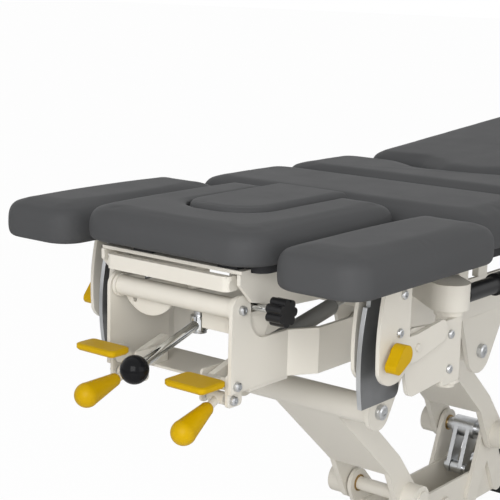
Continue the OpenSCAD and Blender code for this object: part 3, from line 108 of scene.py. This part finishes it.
def places(tree):
    return tree.nodes.new("ShaderNodeTexCoord").outputs["Object"]


def relief(tree, source, strength, depth, below=None):
    bump = addNode(tree, "ShaderNodeBump", Strength=strength, Distance=depth)
    tree.links.new(source, bump.inputs["Height"])
    if below:
        tree.links.new(below, bump.inputs["Normal"])
    return bump.outputs["Normal"]


def softEdge(tree, radius):
    bevel = tree.nodes.new("ShaderNodeBevel")
    bevel.samples = 4
    bevel.inputs["Radius"].default_value = radius
    return bevel.outputs["Normal"]


patchEnds = (0.35, 0.68)  # where on the noise the darker and the lighter colour are full


def blotches(tree, shader, pair, scale, detail=4.0):
    # slow change between two colours over the surface
    noise = addNode(tree, "ShaderNodeTexNoise", Scale=scale, Detail=detail)
    tree.links.new(places(tree), noise.inputs["Vector"])
    ramp = tree.nodes.new("ShaderNodeValToRGB")
    for end, place, colour in zip(ramp.color_ramp.elements, patchEnds, pair):
        end.position = place
        end.color = (*colour, 1)
    tree.links.new(noise.outputs["Fac"], ramp.inputs["Fac"])
    tree.links.new(ramp.outputs["Color"], shader.inputs["Base Color"])


def varyRoughness(tree, shader, low, high, scale):
    noise = addNode(tree, "ShaderNodeTexNoise", Scale=scale, Detail=3.0)
    tree.links.new(places(tree), noise.inputs["Vector"])
    span = addNode(tree, "ShaderNodeMapRange", To_Min=low, To_Max=high)
    tree.links.new(noise.outputs["Fac"], span.inputs["Value"])
    tree.links.new(span.outputs["Result"], shader.inputs["Roughness"])


def vinylLook(name, v):
    look, tree, shader = newLook(name, v["light"], 0.45)
    blotches(tree, shader, (v["dark"], v["light"]), v["patch"])
    varyRoughness(tree, shader, *v["gloss"], v["patch"] * 4)
    pebble = addNode(tree, "ShaderNodeTexVoronoi", Scale=v["pebble"])
    pebble.feature = "SMOOTH_F1"
    tree.links.new(places(tree), pebble.inputs["Vector"])
    grain = relief(tree, pebble.outputs["Distance"], 0.35, v["depth"])
    crease = addNode(tree, "ShaderNodeTexNoise", Scale=v["pebble"] / 5, Detail=3.0)
    tree.links.new(places(tree), crease.inputs["Vector"])
    tree.links.new(relief(tree, crease.outputs["Fac"], 0.2, v["depth"], grain), shader.inputs["Normal"])
    shader.inputs["Specular IOR Level"].default_value = v["specular"]
    return look


charcoalVinyl = vinylLook("charcoalVinyl", {
    "light": (0.074, 0.075, 0.077), "dark": (0.067, 0.068, 0.070), "patch": 5.0, "gloss": (0.50, 0.62),
    "pebble": 900.0, "depth": 0.00014, "specular": 0.09,
})


def coatedLook(name, p):
    look, tree, shader = newLook(name, p["light"], p["gloss"][0], p.get("metal", 0.0))
    blotches(tree, shader, (p["dark"], p["light"]), p["patch"])
    varyRoughness(tree, shader, *p["gloss"], p["patch"] * 6)
    peel = addNode(tree, "ShaderNodeTexNoise", Scale=p["peel"], Detail=2.0)
    tree.links.new(places(tree), peel.inputs["Vector"])
    tree.links.new(relief(tree, peel.outputs["Fac"], p["bump"], 0.0002, softEdge(tree, p["edge"])),
                   shader.inputs["Normal"])
    shader.inputs["Specular IOR Level"].default_value = p["specular"]
    return look


creamPaint = coatedLook("creamPaint", {
    "light": (0.700, 0.668, 0.598), "dark": (0.672, 0.640, 0.571), "patch": 3.0, "gloss": (0.38, 0.48),
    "peel": 420.0, "bump": 0.10, "edge": 0.0012, "specular": 0.40,
})
yellowGrip = coatedLook("yellowGrip", {
    "light": (0.560, 0.345, 0.000), "dark": (0.515, 0.312, 0.000), "patch": 12.0, "gloss": (0.36, 0.48),
    "peel": 300.0, "bump": 0.08, "edge": 0.0014, "specular": 0.14,
})
glossBlack = coatedLook("glossBlack", {
    "light": (0.011, 0.011, 0.012), "dark": (0.008, 0.008, 0.009), "patch": 10.0, "gloss": (0.10, 0.16),
    "peel": 60.0, "bump": 0.01, "edge": 0.0008, "specular": 0.08,
})
satinBlack = coatedLook("satinBlack", {
    "light": (0.017, 0.017, 0.018), "dark": (0.012, 0.012, 0.013), "patch": 12.0, "gloss": (0.28, 0.42),
    "peel": 500.0, "bump": 0.12, "edge": 0.0012, "specular": 0.25,
})
cylinderGrey = coatedLook("cylinderGrey", {
    "light": (0.215, 0.216, 0.210), "dark": (0.190, 0.192, 0.186), "patch": 8.0, "gloss": (0.30, 0.40),
    "peel": 300.0, "bump": 0.05, "edge": 0.001, "specular": 0.50,
})
boardBlack = coatedLook("boardBlack", {
    "light": (0.030, 0.030, 0.032), "dark": (0.018, 0.018, 0.020), "patch": 30.0, "gloss": (0.55, 0.72),
    "peel": 900.0, "bump": 0.30, "edge": 0.0008, "specular": 0.20,
})
tyreRubber = coatedLook("tyreRubber", {
    "light": (0.034, 0.034, 0.036), "dark": (0.022, 0.022, 0.023), "patch": 20.0, "gloss": (0.55, 0.70),
    "peel": 700.0, "bump": 0.20, "edge": 0.0015, "specular": 0.25,
})
# painted shade: dark steel for the sector plates' flats, standing in for the shadow that falls between the
# armrest plates
paintedShadeSteel = coatedLook("paintedShadeSteel", {
    "light": (0.200, 0.204, 0.208), "dark": (0.130, 0.133, 0.137), "patch": 14.0, "gloss": (0.30, 0.42),
    "peel": 400.0, "bump": 0.06, "edge": 0.0008, "specular": 0.40, "metal": 0.6,
})
hubGrey = coatedLook("hubGrey", {
    "light": (0.300, 0.300, 0.305), "dark": (0.260, 0.260, 0.265), "patch": 20.0, "gloss": (0.38, 0.48),
    "peel": 500.0, "bump": 0.10, "edge": 0.001, "specular": 0.40,
})


def metalLook(name, m):
    look, tree, shader = newLook(name, m["light"], m["gloss"][0], 1.0)
    blotches(tree, shader, (m["dark"], m["light"]), m["patch"])
    brush = addNode(tree, "ShaderNodeTexNoise", Scale=1.0, Detail=3.0)
    stretch = tree.nodes.new("ShaderNodeMapping")
    stretch.inputs["Scale"].default_value = m["brush"]
    tree.links.new(places(tree), stretch.inputs["Vector"])
    tree.links.new(stretch.outputs["Vector"], brush.inputs["Vector"])
    span = addNode(tree, "ShaderNodeMapRange", To_Min=m["gloss"][0], To_Max=m["gloss"][1])
    tree.links.new(brush.outputs["Fac"], span.inputs["Value"])
    tree.links.new(span.outputs["Result"], shader.inputs["Roughness"])
    tree.links.new(relief(tree, brush.outputs["Fac"], m["bump"], 0.0001, softEdge(tree, m["edge"])),
                   shader.inputs["Normal"])
    return look


zincSteel = metalLook("zincSteel", {
    "light": (0.620, 0.630, 0.640), "dark": (0.520, 0.530, 0.540), "patch": 25.0, "gloss": (0.24, 0.38),
    "brush": (900.0, 60.0, 900.0), "bump": 0.08, "edge": 0.0006,
})
brightChrome = metalLook("brightChrome", {
    "light": (0.720, 0.735, 0.745), "dark": (0.660, 0.680, 0.690), "patch": 9.0, "gloss": (0.06, 0.14),
    "brush": (120.0, 120.0, 120.0), "bump": 0.02, "edge": 0.0006,
})
bronzeBush = metalLook("bronzeBush", {
    "light": (0.480, 0.330, 0.140), "dark": (0.380, 0.250, 0.100), "patch": 40.0, "gloss": (0.28, 0.40),
    "brush": (600.0, 600.0, 600.0), "bump": 0.05, "edge": 0.0005,
})
print("finishes mixed")

# Finish of each frame part by its slot in the record
slotLooks = {
    "paint": creamPaint, "vinyl": charcoalVinyl, "yellow": yellowGrip, "black": satinBlack,
    "steel": zincSteel, "chrome": brightChrome, "spring_grey": cylinderGrey, "brass": bronzeBush,
    "board": boardBlack, "tyre": tyreRubber,
}


def dress(node, *looks):
    mesh = nodes[node].data
    mesh.materials.clear()
    for look in looks:
        mesh.materials.append(look)


for part in frame["record"]["subparts"]:
    dress(part["node"], slotLooks[part["material_slot"]])


def paintFaces(node, looks, choose):
    # looks[choose(face centre in mm)] on each face of a frame part
    dress(node, *looks)
    mesh = nodes[node].data
    corners = [v.co for v in mesh.vertices]
    for face in mesh.polygons:
        middle = sum((corners[i] for i in face.vertices), Vector()) / len(face.vertices)
        face.material_index = choose((middle - Vector((headEnd, 0, 0))) / mm)


# The armrests' sector plates carry painted shade on their flats, a dark steel standing in for the shadow
# between the plates, and bright zinc steel along their cut edges
flatFrom = 0.7  # a face that looks sideways by this share or more lies on a flat
for side in ("far", "near"):
    sector = "armrest_sector_" + side
    dress(sector, paintedShadeSteel, zincSteel)
    for face in nodes[sector].data.polygons:
        face.material_index = int(abs(face.normal.y) < flatFrom)

paddles = {
    "paddle_far": {"x": (-36, 3), "y": (50, 125), "z": (698, 708)},
    "paddle_near": {"x": (-39, 14), "y": (46, 117), "z": (681, 691)},
}
for name, p in paddles.items():
    def onPaddle(at, p=p):
        slack = 0.6
        return int(all(lo - slack < v < hi + slack for v, (lo, hi) in
                       ((at.x, p["x"]), (abs(at.y), p["y"]), (at.z, p["z"]))))
    paintFaces(name, (creamPaint, yellowGrip), onPaddle)

clubs = {"club_far": (-50, 642), "club_near": (-38, 624)}
clubRoot = Vector((34, 657))
clubBare = 20  # bare rod between the shaft and the grip
for name, tip in clubs.items():
    def onClub(at, tip=tip):
        line = Vector(tip) - clubRoot
        return int((Vector((at.x, at.z)) - clubRoot).dot(line) / line.length > clubBare)
    paintFaces(name, (creamPaint, yellowGrip), onClub)

ballAt, ballReach = Vector((-63, -18, 703)), 20.6
paintFaces("ball_lever", (brightChrome, glossBlack), lambda at: int((at - ballAt).length < ballReach))
knobEnd = -144.5
paintFaces("star_knob", (brightChrome, satinBlack), lambda at: int(at.y < knobEnd))
print("frame parts dressed")


# Cushions: each is made from its foam solid, blown up a little inside its cover
def foamMesh(node, tuck):
    mesh = nodes[node].data.copy()
    work = bmesh.new()
    work.from_mesh(mesh)
    bmesh.ops.remove_doubles(work, verts=work.verts, dist=0.01 * mm)
    bmesh.ops.recalc_face_normals(work, faces=work.faces)
    work.normal_update()
    moves = [(v, v.normal.copy()) for v in work.verts]
    for v, n in moves:
        v.co -= n * tuck
    work.to_mesh(mesh)
    work.free()
    mesh.materials.clear()
    mesh.materials.append(charcoalVinyl)
    return mesh


def baked(piece):
    # the piece's mesh with its modifiers worked in
    seen = piece.evaluated_get(bpy.context.evaluated_depsgraph_get())
    mesh = bpy.data.meshes.new_from_object(seen)
    piece.modifiers.clear()
    piece.data = mesh


coverCloth = {"quality": 4, "mass": 0.4, "pull": 18, "bend": 4}


def blowUp(piece, c, underside):
    held = piece.vertex_groups.new(name="held")
    rest = [v.co.copy() for v in piece.data.vertices]
    held.add([i for i, p in enumerate(rest) if p.z < underside], 1.0, "REPLACE")
    cloth = piece.modifiers.new("cover", "CLOTH")
    s = cloth.settings
    s.quality = coverCloth["quality"]
    s.mass = coverCloth["mass"]
    s.tension_stiffness = s.compression_stiffness = coverCloth["pull"]
    s.bending_stiffness = coverCloth["bend"]
    s.use_pressure = True
    s.uniform_pressure_force = c["pressure"]
    s.effector_weights.gravity = 0
    s.vertex_group_mass = "held"
    cloth.collision_settings.use_collision = False
    for step in range(1, c["steps"] + 1):
        scene.frame_set(step)
    baked(piece)
    scene.frame_set(1)
    for v, start in zip(piece.data.vertices, rest):
        move = v.co - start
        if move.length > c["most"]:
            v.co = start + move.normalized() * c["most"]
    piece.vertex_groups.clear()


def makeCushion(name, node, body, c):
    piece = bpy.data.objects.new(name, foamMesh(node, c["tuck"]))
    scene.collection.objects.link(piece)
    grid = piece.modifiers.new("grid", "REMESH")
    grid.mode = "VOXEL"
    grid.voxel_size = c["grid"]
    calm = piece.modifiers.new("calm", "SMOOTH")
    calm.factor, calm.iterations = 0.5, c["calm"]
    baked(piece)
    blowUp(piece, c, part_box(node)[0].z + c["held"])
    fine = piece.modifiers.new("fine", "SUBSURF")
    fine.levels = fine.render_levels = 1
    baked(piece)
    piece.data.polygons.foreach_set("use_smooth", [True] * len(piece.data.polygons))
    piece.data.materials.clear()
    piece.data.materials.append(charcoalVinyl)
    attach(piece, body)
    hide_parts(node)
    print(name, "upholstered,", len(piece.data.vertices), "points")


smallPad = {"tuck": 0.0012, "grid": 0.0045, "calm": 4, "pressure": 3.0, "steps": 10, "most": 0.0022,
            "held": 0.008, "fill": 0.9}
headPad = dict(smallPad, tuck=0.0008, grid=0.0033, calm=2, most=0.0012)
widePad = dict(smallPad, grid=0.0065, calm=4)
longPad = dict(smallPad, grid=0.0095, calm=4)
makeCushion("headPad", "head_cushion", "head_section", headPad)
makeCushion("facePlug", "face_plug", "face_plug", headPad)
makeCushion("armPadFar", "armrest_cushion_far", "armrest_far", smallPad)
makeCushion("armPadNear", "armrest_cushion_near", "armrest_near", smallPad)
makeCushion("thoracicPad", "thoracic_cushion", "upper_frame", widePad)
makeCushion("lumbarPad", "lumbar_cushion", "upper_frame", widePad)
makeCushion("legPad", "leg_cushion", "leg_section", longPad)
print("cushions made")


# Bolt heads with hex sockets
def hexReach(angle):
    # distance from the middle to a hexagon's edge of unit inner radius
    sixth = math.pi / 3
    return 1 / math.cos((angle + sixth / 2) % sixth - sixth / 2)


headProfile = [(1.0, 0.0), (1.0, 0.45), (0.9, 0.8), (0.68, 1.0)]  # shares of a head's radius and height


def boltHead(name, at, along, b, body):
    work = bmesh.new()
    turns = 36
    angles = [2 * math.pi * i / turns for i in range(turns)]
    rings = []
    for wide, high in headProfile:
        radius, height = b["r"] * wide, b["h"] * high
        rings.append([work.verts.new((radius * math.cos(a), radius * math.sin(a), height)) for a in angles])
    for height in (b["h"], b["h"] - b["socket"]):
        rings.append([work.verts.new((b["key"] * hexReach(a) * math.cos(a),
                                      b["key"] * hexReach(a) * math.sin(a), height)) for a in angles])
    for low, high in zip(rings, rings[1:]):
        for i in range(turns):
            j = (i + 1) % turns
            work.faces.new((low[i], low[j], high[j], high[i]))
    work.faces.new(rings[-1])
    work.faces.new(list(reversed(rings[0])))
    mesh = bpy.data.meshes.new(name)
    work.to_mesh(mesh)
    work.free()
    mesh.materials.append(zincSteel)
    piece = bpy.data.objects.new(name, mesh)
    scene.collection.objects.link(piece)
    turn = Vector((0, 0, 1)).rotation_difference(Vector(along)).to_matrix().to_4x4()
    piece.matrix_world = Matrix.Translation(spot(*at)) @ turn
    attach(piece, body)


bolt = {"r": 0.0068, "h": 0.0066, "key": 0.0028, "socket": 0.0013}
bigBolt = {"r": 0.0122, "h": 0.0096, "key": 0.0048, "socket": 0.0013}
capBolt = {"r": 0.0068, "h": 0.0046, "key": 0.0030, "socket": 0.0013}
for side, sign in (("Far", 1), ("Near", -1)):
    out = (0, sign, 0)
    swing, armrest = "armrest_swing_" + side.lower(), "armrest_" + side.lower()
    boltHead("noseBolt" + side, (42, sign * 116, 783), out, bolt, "upper_frame")
    boltHead("paddleBolt" + side, (34, sign * 116, 678), out, bolt, "upper_frame")
    boltHead("clubBolt" + side, (34, sign * 110, 657), out, bolt, "upper_frame")
    boltHead("headHingeBolt" + side, (352, sign * 142, 836), out, bolt, "upper_frame")
    boltHead("legHingeBolt" + side, (838, sign * 142, 800), out, bolt, "upper_frame")
    boltHead("armBoltFront" + side, (367, sign * 136, 565), out, bigBolt, "upper_frame")
    boltHead("armBoltRear" + side, (683, sign * 136, 599), out, bigBolt, "upper_frame")
    boltHead("swingBoltLow" + side, (348, sign * 264, 665), out, capBolt, swing)
    boltHead("swingBoltHigh" + side, (348, sign * 264, 718), out, capBolt, swing)
    boltHead("carrierBoltHigh" + side, (200, sign * 272, 804), out, capBolt, armrest)
    boltHead("carrierBoltLow" + side, (193, sign * 272, 751), out, capBolt, armrest)
print("bolts fitted")


# Castor hubs on both sides of each wheel
def lathe(name, profile, look, turns=48):
    work = bmesh.new()
    rings = [[work.verts.new((r * math.cos(a), r * math.sin(a), h)) for a in
              (2 * math.pi * i / turns for i in range(turns))] for r, h in profile]
    for low, high in zip(rings, rings[1:]):
        for i in range(turns):
            j = (i + 1) % turns
            work.faces.new((low[i], low[j], high[j], high[i]))
    work.faces.new(rings[-1])
    work.faces.new(list(reversed(rings[0])))
    mesh = bpy.data.meshes.new(name)
    work.to_mesh(mesh)
    work.free()
    mesh.materials.append(look)
    piece = bpy.data.objects.new(name, mesh)
    scene.collection.objects.link(piece)
    return piece


wheelTrail = 24
hub = {"profile": [(0.0245, 0.0), (0.0245, 0.0012), (0.0228, 0.0016), (0.0215, 0.0006), (0.0120, 0.0006),
                   (0.0105, 0.0020), (0.0086, 0.0020)], "side": 14}
for number, (x, y) in enumerate([(480, -270), (480, 270), (1510, -270), (1510, 270)], 1):
    for side, sign in (("Left", 1), ("Right", -1)):
        disc = lathe("castorHub%d%s" % (number, side), hub["profile"], hubGrey)
        turn = Vector((0, 0, 1)).rotation_difference(Vector((0, sign, 0))).to_matrix().to_4x4()
        disc.matrix_world = Matrix.Translation(spot(x + wheelTrail, y + sign * hub["side"], 37.5)) @ turn
        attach(disc, "wheel_%d" % number)
print("castor hubs fitted")


# Studio: a pale floor, a white surround and soft lamps
studio = {
    "floorColour": (0.90, 0.90, 0.90),
    "floorGlow": 0.97,
    "floorHalf": 40,
    "room": 0.44,
    "lamps": [
        {"name": "keyLamp", "at": (-3.4, -1.4, 1.9), "to": (-0.4, 0.0, 0.7), "size": 2.0, "power": 76},
        {"name": "fillLamp", "at": (-0.4, -3.6, 1.5), "to": (-0.2, 0.0, 0.7), "size": 2.4, "power": 24},
        {"name": "topLamp", "at": (0.0, 0.6, 3.4), "to": (0.0, 0.0, 0.8), "size": 3.0, "power": 6},
    ],
}


def makeFloor(s):
    work = bmesh.new()
    bmesh.ops.create_grid(work, x_segments=1, y_segments=1, size=s["floorHalf"])
    mesh = bpy.data.meshes.new("studioFloor")
    work.to_mesh(mesh)
    work.free()
    floor = bpy.data.objects.new("studioFloor", mesh)
    scene.collection.objects.link(floor)
    look, tree, shader = newLook("studioFloorLook", s["floorColour"], 0.8)
    glow = tree.nodes.new("ShaderNodeEmission")
    blend = tree.nodes.new("ShaderNodeMixShader")
    path = tree.nodes.new("ShaderNodeLightPath")
    share = tree.nodes.new("ShaderNodeMath")
    share.operation = "MULTIPLY"
    share.inputs[1].default_value = s["floorGlow"]
    tree.links.new(path.outputs["Is Camera Ray"], share.inputs[0])
    tree.links.new(share.outputs[0], blend.inputs[0])
    tree.links.new(shader.outputs[0], blend.inputs[1])
    tree.links.new(glow.outputs[0], blend.inputs[2])
    tree.links.new(blend.outputs[0], tree.nodes["Material Output"].inputs["Surface"])
    mesh.materials.append(look)


def makeRoom(s):
    world = bpy.data.worlds.new("studioRoom")
    world.use_nodes = True
    tree = world.node_tree
    back = tree.nodes["Background"]
    path = tree.nodes.new("ShaderNodeLightPath")
    seen = tree.nodes.new("ShaderNodeMath")
    seen.operation = "MAXIMUM"
    tree.links.new(path.outputs["Is Camera Ray"], seen.inputs[0])
    tree.links.new(path.outputs["Is Glossy Ray"], seen.inputs[1])
    level = addNode(tree, "ShaderNodeMapRange", To_Min=s["room"], To_Max=1.0)
    tree.links.new(seen.outputs[0], level.inputs["Value"])
    tree.links.new(level.outputs["Result"], back.inputs["Strength"])
    back.inputs["Color"].default_value = (1, 1, 1, 1)
    scene.world = world


def makeLamp(l):
    data = bpy.data.lights.new(l["name"], "AREA")
    data.size = l["size"]
    data.energy = l["power"]
    lamp = bpy.data.objects.new(l["name"], data)
    scene.collection.objects.link(lamp)
    lamp.location = l["at"]
    aim = Vector(l["to"]) - Vector(l["at"])
    lamp.rotation_euler = aim.to_track_quat("-Z", "Y").to_euler()


makeFloor(studio)
makeRoom(studio)
for lamp in studio["lamps"]:
    makeLamp(lamp)
scene.view_settings.view_transform = "Standard"
print("studio lit")
